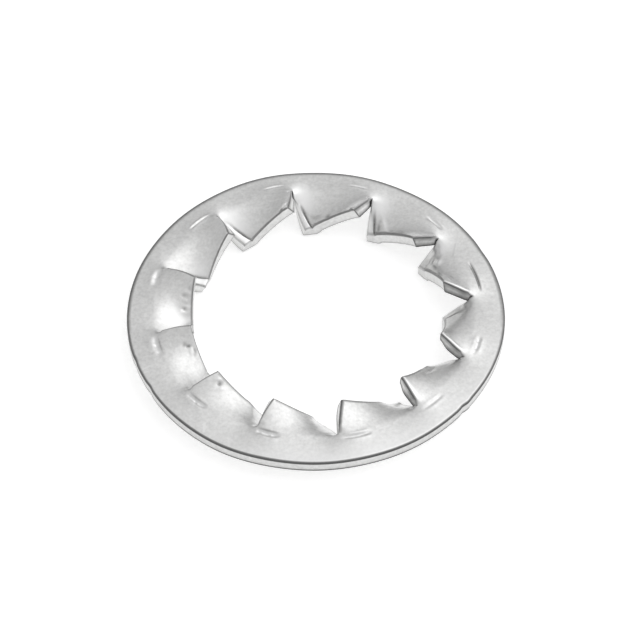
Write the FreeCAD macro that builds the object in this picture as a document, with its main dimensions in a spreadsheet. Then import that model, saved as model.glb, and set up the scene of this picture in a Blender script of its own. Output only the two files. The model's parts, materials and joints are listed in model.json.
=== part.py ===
import FreeCAD, Part
import math
import os

import Sketcher
from FreeCAD import Vector

# Toothed lock washer: one stamped sheet-steel piece, a flat ring whose inner edge is cut into
# twelve teeth. Each tooth is twisted about its own radial centre line, so its clockwise edge
# stands above the ring and its counter-clockwise edge hangs below it. There the sheet steps down
# to a short foot that is pressed back towards level. The washer lies on its twelve feet.
# Origin: centre of the hole, on the plane that the feet rest on. X runs along the middle of the
# first tooth, Z is up. Sizes are in millimetres and angles in degrees.

NODE = "toothed_lock_washer"

SIZES = [
    ("outer_diameter", 25.8, "outside of the ring"),
    ("sheet_thickness", 0.9, "steel sheet"),
    ("rim_roll", 0.24, "radius rolled over on the rim's upper edge by blanking"),
    ("tooth_count", 12, "teeth around the hole"),
    ("tip_diameter", 17.4, "circle through the tooth tips"),
    ("tooth_length", 2.1, "from the tip circle out to the closed ends of the slots"),
    ("slot_width", 0.24, "slots as first cut, before the teeth are twisted"),
    ("edge_roll", 0.16, "rolled-over upper edges of the teeth"),
    ("twist_angle", 33, "slope of a tooth's main part at its tip"),
    ("tip_drop", 0.1, "middle of the tip below the middle of the ring"),
    ("tip_shift", 0.15, "middle of the tip clockwise of the tooth's centre line"),
    ("step_width", 0.25, "steep strip at the tip, between the main part and the foot"),
    ("step_slope", 60, "slope of that strip"),
    ("foot_width", 0.75, "strip at the tip that is pressed back towards level"),
    ("foot_slope", 20, "slope that stays in the foot"),
    ("flank_spread", 0.25, "how far the foot's sheared flank leans out at its bottom"),
    ("foot_flat", 0.1, "height pressed off the foot's lowest edge"),
    ("trim_allowance", 0.4, "blank past the tip circle, taken off by the round tip cut"),
    ("mark_gap", 0.45, "from the slot ends out to the crescent marks left by the twisting die"),
    ("mark_length", 1.7, "crescent mark from point to point"),
    ("mark_curve", 1.7, "radius of a crescent mark's outer edge"),
    ("mark_depth", 0.07, "depth of a crescent mark"),
    ("mark_angle", 9.5, "middle of a mark, clockwise of the tooth's middle"),
]

# Each tooth's cross-section is drawn at the root and after each of these equal steps inwards.
SECTION_STEPS = 3
# The step's width at the root, as a share of its width at the end of the blank.
ROOT_STEP = 0.2
# The foot's width at the root, in widths of its rolled edge.
ROOT_FOOT = 1.25
# A crescent mark's first rough width, before its outer edge takes its own radius.
MARK_ROUGH_RISE = 0.3


def make_sheet(doc):
    """The driving dimensions as plain numbers, each with its alias."""
    sheet = doc.addObject("Spreadsheet::Sheet", "sizes")
    for row, (alias, value, note) in enumerate(SIZES, start=1):
        sheet.set("A%d" % row, alias)
        sheet.set("B%d" % row, str(value))
        sheet.set("C%d" % row, note)
        sheet.setAlias("B%d" % row, alias)
    doc.recompute()
    return sheet


def step_width_at(share):
    """The step's width where the tooth has come this share of its way in, as a formula."""
    return "(sizes.step_width * (%s + (1 - %s) * %s))" % (ROOT_STEP, ROOT_STEP, share)


def foot_width_at(share):
    """The foot's width where the tooth has come this share of its way in, as a formula."""
    root_width = "%s * sizes.edge_roll" % ROOT_FOOT
    return "(%s + (sizes.foot_width - %s) * %s)" % (root_width, root_width, share)


def make_places(doc):
    """Radii and heights that follow from the driving dimensions: the slot ends, the straight root
    line of each tooth, the marks' inner edge, how far along the blank the tip circle lies, the
    widths of the tooth there and how far each of them falls, the foot's lowest edge below the
    middle of the ring's sheet, and the ring's underside above the plane of the feet."""
    places = doc.addObject("App::VarSet", "places")
    formulas = {
        "slot_end": "sizes.tip_diameter / 2 + sizes.tooth_length",
        "root": "slot_end * cos(180 / sizes.tooth_count)",
        "mark": "slot_end + sizes.mark_gap",
        "blank": "root - sizes.tip_diameter / 2 + sizes.trim_allowance",
        "tip_share": "1 - sizes.trim_allowance / blank",
        "tip_step": step_width_at("tip_share"),
        "tip_foot": foot_width_at("tip_share"),
        "tip_main": "sizes.tip_diameter / 2 * tan(180 / sizes.tooth_count) - sizes.slot_width / 2"
                    " - tip_step - tip_foot",
        "main_fall": "tip_main * sin(sizes.twist_angle)",
        "step_fall": "tip_step * sin(sizes.step_slope)",
        "foot_fall": "(tip_foot + sizes.flank_spread) * sin(sizes.foot_slope)"
                     " + sizes.sheet_thickness / 2 * cos(sizes.foot_slope)",
        "foot_depth": "sizes.tip_drop + main_fall + step_fall + foot_fall",
        "ring_lift": "foot_depth - sizes.sheet_thickness / 2 - sizes.foot_flat",
    }
    for label, formula in formulas.items():
        places.addProperty("App::PropertyFloat", label, "Places")
        places.setExpression(label, formula)
    doc.recompute()
    return places


def origin_feature(body, role):
    """One of the body's own base planes or axes."""
    return next(item for item in body.Origin.OriginFeatures if item.Role == role)


def polar(radius, degrees):
    """A point on a circle about the origin."""
    angle = math.radians(degrees)
    return Vector(radius * math.cos(angle), radius * math.sin(angle), 0)


def attach(sketch, body, plane, distance):
    """Lays a sketch on a base plane of its body, off it by a distance."""
    sketch.AttachmentSupport = [(origin_feature(body, plane), "")]
    sketch.MapMode = "FlatFace"
    sketch.setExpression("AttachmentOffset.Base.z", distance)


def add_sketch(body, name, distance):
    """A sketch parallel to the ring, at a height above the feet."""
    sketch = body.newObject("Sketcher::SketchObject", name)
    attach(sketch, body, "XY_Plane", distance)
    return sketch


def bind(sketch, constraint, formula):
    """Adds a dimension to the sketch and binds it to a formula."""
    index = sketch.addConstraint(constraint)
    sketch.setExpression("Constraints[%d]" % index, formula)


def add_circle(sketch, radius):
    """A circle about the sketch's origin, its radius bound to a formula."""
    circle = sketch.addGeometry(Part.Circle(Vector(0, 0, 0), Vector(0, 0, 1), 1), False)
    sketch.addConstraint(Sketcher.Constraint("Coincident", circle, 3, -1, 1))
    bind(sketch, Sketcher.Constraint("Radius", circle, 1), radius)


def add_outline(sketch, corners):
    """A closed run of lines, each corner bound to a formula across and a formula upward."""
    count = len(corners)
    rough = [polar(1, 360 / count * index) for index in range(count)]
    for index in range(count):
        following = (index + 1) % count
        sketch.addGeometry(Part.LineSegment(rough[index], rough[following]), False)
    for index, (across, upward) in enumerate(corners):
        sketch.addConstraint(Sketcher.Constraint("Coincident", (index - 1) % count, 2, index, 1))
        bind(sketch, Sketcher.Constraint("DistanceX", -1, 1, index, 1, rough[index].x), across)
        bind(sketch, Sketcher.Constraint("DistanceY", -1, 1, index, 1, rough[index].y), upward)


def rim_edge(shape):
    """Name of the ring's round upper edge, the only full circle at its top."""
    top = shape.BoundBox.ZMax
    for index, edge in enumerate(shape.Edges, start=1):
        if edge.Curve.TypeId == "Part::GeomCircle" and math.isclose(edge.CenterOfMass.z, top):
            return "Edge%d" % index
    raise ValueError("the ring has no round upper edge")


def add_ring(doc, body, sheet):
    """The flat ring. Its hole is a polygon with one side for each tooth's root, so that every
    slot ends in one of the polygon's corners. The rim's upper edge is rolled over."""
    outline = add_sketch(body, "ring_outline", "places.ring_lift")
    corner = "places.slot_end * %s(360 / sizes.tooth_count * %.1f)"
    steps = [index + 0.5 for index in range(int(sheet.tooth_count))]
    add_outline(outline, [(corner % ("cos", step), corner % ("sin", step)) for step in steps])
    add_circle(outline, "sizes.outer_diameter / 2")
    ring = body.newObject("PartDesign::Pad", "ring")
    ring.Profile = outline
    ring.setExpression("Length", "sizes.sheet_thickness")
    doc.recompute()
    rim = body.newObject("PartDesign::Fillet", "rolled_rim")
    rim.Base = (ring, [rim_edge(ring.Shape)])
    rim.setExpression("Radius", "sizes.rim_roll")


def add_tooth_section(body, step):
    """One cross-section of a tooth, square to the tooth's centre line and turned by its twist.
    The sketch's own X follows the main part of the sheet from the raised edge to the first knee,
    where the step turns down. At the second knee the foot turns back up. Growth is 0 at the root
    and 1 at the tip circle."""
    share = "%.4f" % (step / SECTION_STEPS)
    section = body.newObject("Sketcher::SketchObject", "tooth_section_%d" % step)
    own = {
        "place": "places.root - places.blank * " + share,
        "growth": "(places.root - place) / (places.root - sizes.tip_diameter / 2)",
        "slope": "sizes.twist_angle * growth",
        "down": "(sizes.twist_angle - sizes.step_slope) * growth",
        "back": "(sizes.twist_angle - sizes.foot_slope) * growth",
        "between": "(down + back) / 2",
        "half_width": "place * tan(180 / sizes.tooth_count) - sizes.slot_width / 2",
        "drop": step_width_at(share),
        "foot": foot_width_at(share),
        "knee": "half_width - foot - drop",
        "half": "sizes.sheet_thickness / 2",
        "mitre": "half / cos((back - down) / 2)",
        "rolled": "half - sizes.edge_roll",
    }
    for label, formula in own.items():
        section.addProperty("App::PropertyFloat", label, "Section")
        section.setExpression(label, formula)
    attach(section, body, "YZ_Plane", "place")
    section.setExpression("AttachmentOffset.Base.x", "-sizes.tip_shift * growth")
    section.setExpression("AttachmentOffset.Base.y", "places.ring_lift + half - sizes.tip_drop * growth")
    section.setExpression("AttachmentOffset.Rotation.Angle", "-slope")
    second_knee = "knee + drop * cos(down)", "drop * sin(down)"
    in_foot = "%s + (%%s) * cos(back) - (%%s) * sin(back)", "%s + (%%s) * sin(back) + (%%s) * cos(back)"
    foot_corners = [
        ("foot + sizes.flank_spread * growth", "-half"),
        ("foot", "rolled"),
        ("foot - sizes.edge_roll", "half"),
    ]
    to_foot = [form % origin for form, origin in zip(in_foot, second_knee)]
    add_outline(section, [
        ("-half_width", "-half"),
        ("knee + half * tan(down / 2)", "-half"),
        (second_knee[0] + " + mitre * sin(between)", second_knee[1] + " - mitre * cos(between)"),
        *[tuple(formula % corner for formula in to_foot) for corner in foot_corners],
        (second_knee[0] + " - mitre * sin(between)", second_knee[1] + " + mitre * cos(between)"),
        ("knee - half * tan(down / 2)", "half"),
        ("sizes.edge_roll - half_width", "half"),
        ("-half_width", "rolled"),
    ])
    return section


def add_tooth(body):
    """The first tooth: its cross-sections lofted from the root to just past the tip circle."""
    sections = [add_tooth_section(body, step) for step in range(SECTION_STEPS + 1)]
    tooth = body.newObject("PartDesign::AdditiveLoft", "tooth")
    tooth.Profile = sections[0]
    tooth.Sections = sections[1:]
    return tooth


def add_mark(body, sheet, places):
    """The crescent that the twisting die presses into the ring beside the tooth's raised edge."""
    outline = add_sketch(body, "mark_outline", "places.ring_lift + sizes.sheet_thickness")
    outline.setExpression("AttachmentOffset.Rotation.Angle", "-sizes.mark_angle")
    radius = places.mark
    spread = math.degrees(math.asin(sheet.mark_length / 2 / radius))
    start, end = polar(radius, -spread), polar(radius, spread)
    inner = outline.addGeometry(Part.Arc(start, polar(radius, 0), end), False)
    outer_middle = polar(radius + MARK_ROUGH_RISE, 0)
    outer = outline.addGeometry(Part.Arc(start, outer_middle, end), False)
    outline.addConstraint([
        Sketcher.Constraint("Coincident", inner, 3, -1, 1),
        Sketcher.Constraint("Coincident", inner, 1, outer, 1),
        Sketcher.Constraint("Coincident", inner, 2, outer, 2),
        Sketcher.Constraint("Symmetric", inner, 1, inner, 2, -1),
    ])
    bind(outline, Sketcher.Constraint("Radius", inner, radius), "places.mark")
    across = Sketcher.Constraint("DistanceY", inner, 1, inner, 2, sheet.mark_length)
    bind(outline, across, "sizes.mark_length")
    bind(outline, Sketcher.Constraint("Radius", outer, sheet.mark_curve), "sizes.mark_curve")
    mark = body.newObject("PartDesign::Pocket", "crescent_mark")
    mark.Profile = outline
    mark.setExpression("Length", "sizes.mark_depth")
    return mark


def add_pattern(body, originals):
    """Repeats the tooth and its mark around the ring."""
    pattern = body.newObject("PartDesign::PolarPattern", "teeth")
    pattern.Originals = originals
    pattern.Axis = (origin_feature(body, "Z_Axis"), [""])
    pattern.Angle = 360
    pattern.setExpression("Occurrences", "sizes.tooth_count")
    body.Tip = pattern


def add_round_cut(body, name, height, diameter, depth, both_ways):
    """A round cut about the washer's axis, downwards from a height or both ways from it."""
    outline = add_sketch(body, name + "_outline", height)
    add_circle(outline, diameter + " / 2")
    cut = body.newObject("PartDesign::Pocket", name)
    cut.Profile = outline
    cut.SideType = "Symmetric" if both_ways else "One side"
    cut.setExpression("Length", depth)
    return cut


def build_washer(doc, sheet, places):
    """The whole washer as one body."""
    body = doc.addObject("PartDesign::Body", NODE)
    body.Label = NODE
    add_ring(doc, body, sheet)
    tooth = add_tooth(body)
    mark = add_mark(body, sheet, places)
    add_pattern(body, [tooth, mark])
    add_round_cut(body, "tip_cut", "places.ring_lift", "sizes.tip_diameter", "sizes.outer_diameter", True)
    add_round_cut(body, "feet_flat", "0", "sizes.outer_diameter", "places.ring_lift", False)
    return body


def check(doc):
    """Stops on any failed object and on any body without a valid solid."""
    for item in doc.Objects:
        if "Invalid" in item.State or "Error" in item.State:
            raise RuntimeError("%s failed: %s" % (item.Name, item.State))
    for item in doc.findObjects("PartDesign::Body"):
        if item.Shape.isNull() or not item.Shape.isValid():
            raise RuntimeError("%s has no valid shape" % item.Label)


def main():
    doc = FreeCAD.newDocument("toothed_lock_washer")
    sheet = make_sheet(doc)
    body = build_washer(doc, sheet, make_places(doc))
    doc.recompute()
    check(doc)
    os.makedirs("parts", exist_ok=True)
    body.Shape.exportStep("parts/%s.step" % body.Label)
    box = body.Shape.BoundBox
    print("%s: %d solid, %.1f mm3, %.2f x %.2f mm, z %.3f to %.3f" % (
        body.Label, len(body.Shape.Solids), body.Shape.Volume, box.XLength, box.YLength, box.ZMin, box.ZMax))


main()
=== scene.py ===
import json
import logging
import math
from dataclasses import dataclass
from typing import Any

import bpy
from mathutils import Matrix, Vector


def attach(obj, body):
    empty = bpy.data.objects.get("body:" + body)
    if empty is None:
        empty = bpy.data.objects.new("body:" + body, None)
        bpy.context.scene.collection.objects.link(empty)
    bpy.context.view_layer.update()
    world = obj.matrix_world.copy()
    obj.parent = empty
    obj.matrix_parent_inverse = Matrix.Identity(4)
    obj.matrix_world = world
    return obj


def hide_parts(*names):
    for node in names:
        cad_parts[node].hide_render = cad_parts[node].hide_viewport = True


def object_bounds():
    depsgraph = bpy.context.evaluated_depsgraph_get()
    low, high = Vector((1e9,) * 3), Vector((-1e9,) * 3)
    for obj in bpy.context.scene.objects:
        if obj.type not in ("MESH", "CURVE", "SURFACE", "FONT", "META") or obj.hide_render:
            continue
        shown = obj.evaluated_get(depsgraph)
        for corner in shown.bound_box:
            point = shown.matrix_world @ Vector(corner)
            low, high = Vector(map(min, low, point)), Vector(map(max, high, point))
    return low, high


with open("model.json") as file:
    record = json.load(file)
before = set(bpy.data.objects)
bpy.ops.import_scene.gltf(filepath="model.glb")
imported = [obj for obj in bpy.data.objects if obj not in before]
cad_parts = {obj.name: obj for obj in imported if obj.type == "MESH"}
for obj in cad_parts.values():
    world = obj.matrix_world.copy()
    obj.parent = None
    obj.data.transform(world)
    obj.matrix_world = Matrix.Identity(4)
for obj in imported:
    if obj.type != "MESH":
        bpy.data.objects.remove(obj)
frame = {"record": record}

CAD_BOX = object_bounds()

MM = 0.001
NODE = "toothed_lock_washer"
ON_EDGE = 1e-3
"""Distance in millimetres below which a place counts as on an edge."""
ON_FACE = 0.01
"""Share of the sheet's thickness within which a place counts as on its upper or lower side."""

Tree = bpy.types.NodeTree
Colour = tuple[float, float, float, float]

log = logging.getLogger("washer")


def mount(name: str) -> dict[str, Any]:
    """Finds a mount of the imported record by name: its place is in metres, its sizes in mm."""
    return next(entry for entry in frame["record"]["mounts"] if entry["name"] == name)


def clamp(value: float, low: float = 0.0, high: float = 1.0) -> float:
    """Keeps a value between two limits."""
    return max(low, min(high, value))


def ease(value: float) -> float:
    """Turns a share from 0 to 1 into one that starts and ends gently."""
    value = clamp(value)
    return value * value * (3 - 2 * value)


def ramp(distance: float, softness: float) -> float:
    """A bend line: 0 before it, the distance after it, rounded over a softness."""
    ratio = distance / softness
    return distance if ratio > 30 else softness * math.log1p(math.exp(ratio))


def rolled(distance: float, radius: float) -> float:
    """Finds how far a rolled-over edge has dropped.

    Args:
        distance: Distance in from the edge.
        radius: Radius of the roll.

    Returns:
        The drop.
    """
    if radius <= 0 or distance >= radius:
        return 0.0
    return radius - math.sqrt(radius * radius - (radius - distance) ** 2)


def bell(*offsets: float) -> float:
    """A soft spot: 1 where every offset is 0, and nearly 0 from 2 half sizes on."""
    return math.exp(-sum(offset * offset for offset in offsets))


def spaced(start: float, stop: float, count: int) -> list[float]:
    """Evenly spaced values from a start up to, but without, a stop."""
    return [start + (stop - start) * index / count for index in range(count)]


def degrees_away(one: float, two: float) -> float:
    """The shorter way round between two angles in degrees."""
    return abs((one - two + 180) % 360 - 180)


@dataclass(frozen=True)
class Swelling:
    """A small burr, dimple or fold on a tooth's upper side, in millimetres, with painted shade or a painted
    highlight.
    """

    across: float
    """Place across the tooth, from -1 at the raised edge to 1 at the lowered edge."""
    outward: float
    """Distance out from the tip edge."""
    height: float
    """Rise of its middle, below 0 for a dimple."""
    wide: float
    """Half size across the tooth."""
    long: float
    """Half size along the tooth."""
    lean: float = 0.0
    """Turn of its long side, in degrees."""
    tone: float = 0.0
    # """Strength of its painted shade, or, below 0, of its painted highlight."""
    """How dark it is, or, below 0, how burnished."""


@dataclass(frozen=True)
class Crescent:
    """The crescent that the twisting die presses into the ring beside a raised edge."""

    start: float
    """Degrees counter-clockwise from the slot to its first point."""
    length: float
    """Degrees from point to point."""
    radius: float
    width: float = 0.1
    """Half width."""
    depth: float = 0.07
    lip: float = 0.03
    """Height of the ridges pushed up along its two sides."""
    ripple: float = 0.0
    """Share of the depth that comes and goes along it."""
    bright: float = 0.0
    # """Strength of the painted highlight in the groove."""
    """How burnished the groove is."""
    line: float = 0.0
    # """Darkness of the painted shade line beside the groove."""
    """Darkness of the line beside the groove."""
    line_side: float = -1.3
    """Place of that line, in half widths out from the groove's middle."""


@dataclass(frozen=True)
class Tooth:
    """One tooth's own forming and marks, in millimetres and degrees."""

    crescent: Crescent
    swellings: tuple[Swelling, ...]
    twist: float
    """Slope of the main part at the tip."""
    drop: float
    """Middle of the tip below the middle of the ring."""
    shift: float
    """Middle of the tip clockwise of the tooth's centre line."""
    step: float
    """Width of the steep strip above the foot."""
    foot: float
    """Width of the foot that is pressed back towards level."""
    foot_slope: float
    spread: float
    # """How far the foot's cut flank leans out at its bottom."""
    """How far the foot's sheared flank leans out at its bottom."""
    tip: float
    """How much the tip stands short of the tip circle."""
    skew: float
    """How much more the lowered tip corner stands short, and the raised one less."""
    lean: float = 0.0
    """How far the lowered tip corner's upper edge is dragged in over its lower edge."""
    step_slope: float = 62.0
    worn: float = 0.0
    """Rounding of the raised tip corner's lower edge."""
    narrow: float = 0.0
    """How far the raised tip corner is drawn in towards the tooth's middle."""
    fold: float = 0.0
    # """Darkness of the painted shade in the crease above the foot."""
    """Darkness of the crease above the foot."""
    fold_place: float = 0.4
    """Place of the crease, in widths of the steep strip back from the foot."""
    line: float = 0.08
    # """Width of the painted shade line along the upper edges."""
    """Width of the dark line along the upper edges."""
    raised_line: float = 1.0
    """Share of that width along the raised edge."""
    root_slope: float = 6.0
    """Slope that the tooth already has at the slot ends."""


# The first tooth is the one on +X; the rest follow counter-clockwise.
TEETH = (
    Tooth(
        twist=35.5, drop=0.28, shift=-0.02, step=0.34, foot=0.64, foot_slope=31, spread=0.6, tip=0.22,
        skew=-0.1, lean=-0.02, worn=0.3, narrow=0.22, fold=1, fold_place=1.35, line=0.12, raised_line=0.5,
        crescent=Crescent(2.2, 8.2, 11.28, width=0.15, depth=0.1, lip=0.045, ripple=0.8, bright=1.0),
        swellings=(
            # Hollow with painted shade, tick with a painted highlight, and painted shade on the foot's face.
            Swelling(0.66, 1.2, -0.06, 0.22, 0.34, tone=0.4),
            Swelling(0.9, 1.3, 0.06, 0.12, 0.3, tone=-0.6),
            Swelling(0.78, 0.55, 0.0, 0.36, 0.6, tone=0.18),
            # Ridge along the raised edge, with a painted highlight.
            Swelling(-0.925, 0.9, 0.05, 0.1, 1.1, tone=-1.6),
        ),
    ),
    Tooth(
        twist=35, drop=0.2, shift=-0.02, step=0.26, foot=0.78, foot_slope=17, spread=0.34, tip=0.24,
        skew=-0.16, lean=0.02, narrow=0.48, fold=0.5, fold_place=0.8, line=0.12, raised_line=0.5,
        crescent=Crescent(1.7, 12.7, 11.4, width=0.09, depth=0.15, lip=0.02, line=0.9, line_side=0.6),
        swellings=(
            # Folds with painted highlights and painted shade, and a painted highlight on the outer strip
            # beside the foot.
            Swelling(0.42, 0.95, 0.08, 0.2, 0.34, lean=-45, tone=-1.3),
            Swelling(0.58, 0.7, -0.03, 0.08, 0.26, lean=-30, tone=0.5),
            Swelling(0.32, 0.48, -0.03, 0.36, 0.09, lean=10, tone=0.7),
            Swelling(0.9, 0.8, 0.0, 0.22, 0.9, tone=-0.6),
            # Folds along the tip, with painted shade.
            Swelling(-0.2, 0.22, 0.06, 0.36, 0.12, tone=0.4),
            Swelling(-0.5, 0.9, 0.06, 0.4, 0.09, lean=-12, tone=0.2),
            # Ridge along the raised edge, with a painted highlight.
            Swelling(-0.925, 1.0, 0.05, 0.1, 1.1, tone=-1.6),
        ),
    ),
    Tooth(
        twist=32, drop=0.1, shift=0.2, step=0.22, foot=0.66, foot_slope=20, spread=0.38, tip=0.18,
        skew=-0.16, lean=0.04, narrow=0.3, fold=1, fold_place=0.6, line=0.13,
        crescent=Crescent(2.0, 6.8, 11.47, width=0.13, depth=0.12, bright=1.0, line=0.35),
        swellings=(
            # Folds along the tip, with painted shade.
            Swelling(-0.35, 0.24, 0.06, 0.28, 0.12, tone=0.4),
            Swelling(0.1, 0.22, -0.05, 0.22, 0.12, tone=0.3),
            # Folds with a painted highlight and painted shade, and a painted highlight on the outer strip
            # beside the foot.
            Swelling(0.45, 0.66, 0.09, 0.13, 0.62, lean=-40, tone=-1.0),
            Swelling(0.58, 0.36, -0.04, 0.13, 0.34, lean=-25, tone=0.55),
            Swelling(0.92, 0.7, 0.02, 0.22, 0.8, tone=-1.3),
        ),
    ),
    Tooth(
        twist=35.5, drop=0.18, shift=0.18, step=0.3, foot=0.62, foot_slope=14, spread=0.44, tip=0.04,
        skew=-0.12, lean=0.08, narrow=0.08, fold=1,
        crescent=Crescent(3.0, 6.3, 11.53, depth=0.035, lip=0.012, bright=0.35),
        swellings=(
            # Tick at the slot with a painted highlight, and folds and a burr along the tip with painted
            # shade.
            Swelling(0.9, 1.25, 0.12, 0.14, 0.16, tone=-0.4),
            Swelling(0.05, 0.14, -0.07, 0.22, 0.14, tone=0.6),
            Swelling(0.4, 0.34, 0.05, 0.4, 0.1, tone=0.3),
            Swelling(-0.9, 0.12, 0.1, 0.16, 0.18, tone=0.4),
            # Outer strip with a painted highlight.
            Swelling(0.86, 0.6, 0.02, 0.24, 0.9, tone=-1.5),
        ),
    ),
    Tooth(
        twist=39.5, drop=0.2, shift=0.12, step=0.22, foot=0.78, foot_slope=9, spread=0.3, tip=0.02,
        skew=-0.06, lean=0.1, fold=1,
        crescent=Crescent(2.5, 7.0, 11.36, depth=0.04, lip=0.015, bright=0.5),
        swellings=(
            # Tick at the slot with a painted highlight, and burrs on the raised corner with painted shade and
            # a painted highlight.
            Swelling(0.93, 1.17, 0.14, 0.14, 0.16, tone=-0.5),
            Swelling(-0.78, 0.1, 0.08, 0.15, 0.12, tone=0.7),
            Swelling(-0.9, 0.24, 0.08, 0.12, 0.14, tone=-0.8),
            # Outer strip with a painted highlight.
            Swelling(0.84, 0.6, 0.02, 0.3, 0.9, tone=-1.5),
        ),
    ),
    Tooth(
        twist=43.5, drop=0.34, shift=0.06, step=0.24, foot=0.82, foot_slope=4, spread=0.26, tip=-0.14,
        skew=-0.08, lean=0.22, fold=0.9,
        crescent=Crescent(1.7, 9.3, 11.08, depth=0.06, bright=0.5),
        swellings=(
            # Tick at the slot, with a painted highlight.
            Swelling(0.93, 1.1, 0.12, 0.14, 0.16, tone=-0.5),
        ),
    ),
    Tooth(
        twist=41, drop=0.28, shift=0.16, step=0.28, foot=0.8, foot_slope=2, spread=0.28, tip=-0.24,
        skew=-0.1, lean=0.02, line=0.13,
        crescent=Crescent(1.2, 8.0, 10.88, width=0.26, depth=0.16, lip=0.02, ripple=0.4, bright=1.0),
        swellings=(
            # Dent with painted shade in an oval ring, and rough metal beside it, partly with painted shade.
            Swelling(0.1, 0.5, -0.12, 0.13, 0.11, tone=0.7), Swelling(0.08, 0.46, 0.06, 0.34, 0.26),
            Swelling(-0.16, 0.45, 0.06, 0.11, 0.11), Swelling(-0.3, 0.58, -0.06, 0.12, 0.12, tone=0.2),
            Swelling(-0.42, 0.4, 0.06, 0.11, 0.16), Swelling(-0.56, 0.3, -0.05, 0.14, 0.11, tone=0.2),
            # Painted highlight over the lowered half.
            Swelling(0.42, 0.75, 0.0, 0.95, 0.85, tone=-0.6),
        ),
    ),
    Tooth(
        twist=38, drop=0.2, shift=0.2, step=0.32, foot=0.66, foot_slope=13, spread=0.24, tip=-0.16,
        skew=-0.14, lean=0.04, step_slope=47, line=0.1,
        crescent=Crescent(1.4, 9.8, 10.97, width=0.2, depth=0.14, lip=0.02, ripple=0.5, bright=0.9, line=0.6),
        swellings=(
            # Nicks that run beside the tip edge, with painted shade and a painted highlight.
            Swelling(-0.34, 0.55, -0.1, 0.1, 0.12, tone=0.9),
            Swelling(-0.4, 0.78, -0.05, 0.18, 0.09, lean=25, tone=0.35),
            Swelling(-0.18, 0.46, 0.05, 0.3, 0.07, lean=12, tone=-0.5),
            Swelling(-0.12, 0.3, -0.05, 0.38, 0.06, lean=12, tone=0.5),
        ),
    ),
    Tooth(
        twist=31, drop=0.16, shift=0.06, step=0.28, foot=0.8, foot_slope=45, spread=0.3, tip=-0.12,
        skew=-0.18, step_slope=47, line=0.2, raised_line=0.5,
        crescent=Crescent(1.6, 8.8, 11.02, 0.15, 0.15, 0.05, ripple=0.55, bright=1.0, line=0.45),
        swellings=(
            # Dark spot, a dimple with painted shade, between two ticks with painted highlights.
            Swelling(-0.62, 0.55, -0.12, 0.1, 0.12, tone=0.8),
            Swelling(-0.46, 0.66, 0.06, 0.09, 0.18, lean=30, tone=-0.7),
            Swelling(-0.76, 0.38, 0.06, 0.11, 0.16, lean=30, tone=-0.7),
            # Wave on the lowered half of the tip edge, with painted shade.
            Swelling(0.35, 0.1, 0.06, 0.18, 0.2, tone=0.3),
        ),
    ),
    Tooth(
        twist=34.5, drop=0.18, shift=0.22, step=0.36, foot=0.9, foot_slope=52, spread=0.34, tip=-0.24,
        skew=-0.28, lean=0.04, step_slope=47, worn=0.15, line=0.2, raised_line=0.5,
        crescent=Crescent(0.7, 8.3, 11.1, 0.15, 0.15, 0.05, ripple=0.5, bright=1.0, line=0.6),
        swellings=(
            # Burr on the lowered edge, and a wave with painted shade on the tip edge.
            Swelling(0.8, 0.75, 0.12, 0.2, 0.16), Swelling(0.45, 0.1, 0.05, 0.18, 0.16, tone=0.3),
        ),
    ),
    Tooth(
        twist=30.5, drop=0.14, shift=0, step=0.36, foot=0.88, foot_slope=47, spread=0.38, tip=-0.2,
        skew=-0.12, lean=-0.08, step_slope=47, worn=0.2, line=0.24,
        crescent=Crescent(1.3, 9.5, 11.13, width=0.12, depth=0.08, lip=0.04, bright=0.4),
        swellings=(
            # Burr on the lowered edge and the hollow before it, both with painted shade.
            Swelling(0.95, 0.57, 0.26, 0.26, 0.24, tone=0.15),
            Swelling(0.74, 0.85, -0.08, 0.16, 0.16, tone=0.4),
        ),
    ),
    Tooth(
        twist=27, drop=0.2, shift=0.08, step=0.34, foot=0.92, foot_slope=54, spread=0.36, tip=-0.06,
        skew=-0.02, lean=-0.06, step_slope=47, worn=0.35, line=0.24, raised_line=0.5,
        crescent=Crescent(0.5, 9.8, 11.23, width=0.12, depth=0.045, lip=0.02, ripple=0.3, bright=0.2),
        swellings=(
            # Waves along the lowered half of the tip edge, the first with painted shade.
            Swelling(0.28, 0.55, -0.1, 0.5, 0.2, tone=0.35), Swelling(0.02, 0.05, 0.05, 0.45, 0.25),
            Swelling(0.45, 0.08, 0.05, 0.3, 0.2),
            # Ridge along the raised edge, with a painted highlight.
            Swelling(-0.9, 0.9, 0.03, 0.2, 1.1, tone=-1.2),
        ),
    ),
)


@dataclass(frozen=True)
class Scratch:
    """A straight scratch on the ring, in millimetres."""

    start: tuple[float, float]
    end: tuple[float, float]
    width: float
    """Half width."""
    tone: float
    """How much darker, below 0, or brighter it is."""


SCRATCHES = (
    Scratch((9.10, 7.15), (9.02, 5.85), width=0.07, tone=-3.2),
    Scratch((-11.30, -6.40), (-10.50, -5.85), width=0.07, tone=2.4),
    Scratch((-11.00, -6.55), (-10.55, -6.30), width=0.05, tone=1.8),
    Scratch((-6.25, -10.20), (-6.20, -11.15), width=0.12, tone=1.0),
)


@dataclass(frozen=True)
class Slot:
    """How one slot's closed end lies off its even place."""

    turn: float
    """Degrees counter-clockwise."""
    push: float
    """Distance outwards."""


# The first slot is the one clockwise of the first tooth.
SLOTS = (
    Slot(-1.0, 0.18), Slot(-2.5, 0.20), Slot(-2.0, 0.06), Slot(-0.5, 0.26),
    Slot(-0.5, 0.40), Slot(-0.5, 0.36), Slot(0.8, 0.46), Slot(1.0, 0.14),
    Slot(0.0, 0.18), Slot(0.0, -0.10), Slot(-0.5, 0.0), Slot(0.8, 0.0),
)


@dataclass(frozen=True)
class Bulge:
    """A place where the rim is out of round."""

    angle: float
    """Its middle, in degrees counter-clockwise from +X."""
    reach: float
    """Half its length, in degrees."""
    height: float
    """How far it stands out, below 0 for a flat or a nick."""


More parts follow.
